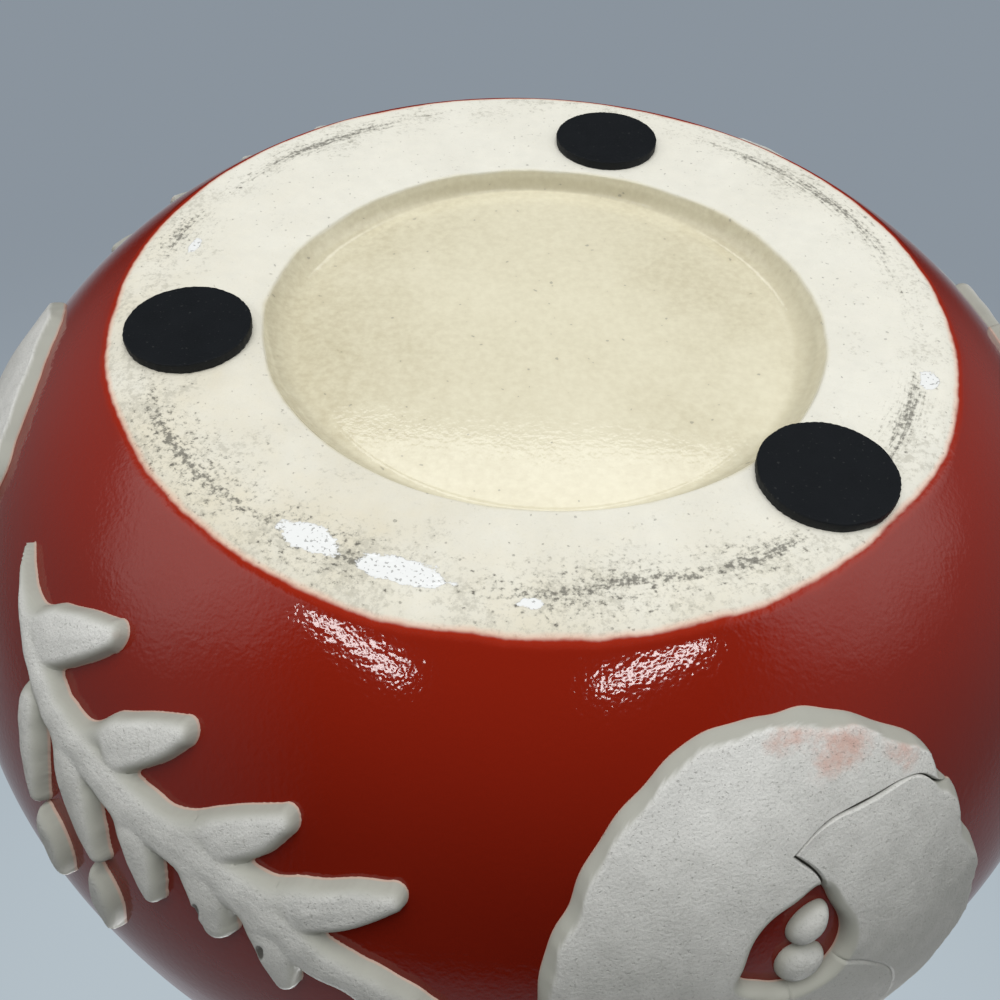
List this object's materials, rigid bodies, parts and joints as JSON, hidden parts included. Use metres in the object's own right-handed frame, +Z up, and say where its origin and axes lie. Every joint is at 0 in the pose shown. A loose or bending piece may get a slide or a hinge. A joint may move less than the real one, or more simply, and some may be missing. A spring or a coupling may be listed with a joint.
{
  "type": "planter",
  "caption": "Round glazed ceramic planter with a rolled rim, a recessed bare foot on stick-on pads, and raised white clay blooms and leafy sprigs.",
  "frame": {"origin": "middle of the plane that the foot pads stand on, on the axis of the round body", "axes": "+Z up along the axis of the body to the mouth, -Y to the front, where the first bloom lies left of the middle"},
  "size_m": [0.2686, 0.2674, 0.1923],
  "materials": {
    "red_glaze": "glossy red glaze, bare cream clay on the foot, clear glaze in the base recess and inside",
    "relief_clay": "matte white clay slip with fine speckles",
    "foot_pad": "matte black rubber"
  },
  "bodies": {
    "root": {"pot_body": "red_glaze", "pad_left": "foot_pad", "pad_right": "foot_pad", "pad_back": "foot_pad", "sprig_1_stem": "relief_clay", "sprig_2_stem": "relief_clay", "sprig_3_stem": "relief_clay", "sprig_1_leaf_1": "relief_clay", "sprig_1_leaf_2": "relief_clay", "sprig_1_leaf_3": "relief_clay", "sprig_1_leaf_4": "relief_clay", "sprig_1_leaf_5": "relief_clay", "sprig_1_leaf_6": "relief_clay", "sprig_1_leaf_7": "relief_clay", "sprig_1_leaf_8": "relief_clay", "sprig_1_leaf_9": "relief_clay", "sprig_1_leaf_10": "relief_clay", "sprig_1_leaf_11": "relief_clay", "sprig_1_leaf_12": "relief_clay", "sprig_1_leaf_13": "relief_clay", "sprig_2_leaf_1": "relief_clay", "sprig_2_leaf_2": "relief_clay", "sprig_2_leaf_3": "relief_clay", "sprig_2_leaf_4": "relief_clay", "sprig_2_leaf_5": "relief_clay", "sprig_2_leaf_6": "relief_clay", "sprig_2_leaf_7": "relief_clay", "sprig_2_leaf_8": "relief_clay", "sprig_2_leaf_9": "relief_clay", "sprig_2_leaf_10": "relief_clay", "sprig_2_leaf_11": "relief_clay", "sprig_2_leaf_12": "relief_clay", "sprig_2_leaf_13": "relief_clay", "sprig_3_leaf_1": "relief_clay", "sprig_3_leaf_2": "relief_clay", "sprig_3_leaf_3": "relief_clay", "sprig_3_leaf_4": "relief_clay", "sprig_3_leaf_5": "relief_clay", "sprig_3_leaf_6": "relief_clay", "sprig_3_leaf_7": "relief_clay", "sprig_3_leaf_8": "relief_clay", "sprig_3_leaf_9": "relief_clay", "sprig_3_leaf_10": "relief_clay", "sprig_3_leaf_11": "relief_clay", "sprig_3_leaf_12": "relief_clay", "sprig_3_leaf_13": "relief_clay", "loose_leaves": "relief_clay", "bloom_1_petal_1": "relief_clay", "bloom_1_petal_2": "relief_clay", "bloom_1_petal_3": "relief_clay", "bloom_2_petal_1": "relief_clay", "bloom_2_petal_2": "relief_clay", "bloom_2_petal_3": "relief_clay", "bloom_3_petal_1": "relief_clay", "bloom_3_petal_2": "relief_clay", "bloom_3_petal_3": "relief_clay", "bloom_1_stamens": "relief_clay", "bloom_2_stamens": "relief_clay", "bloom_3_stamens": "relief_clay"}
  },
  "joints": []
}
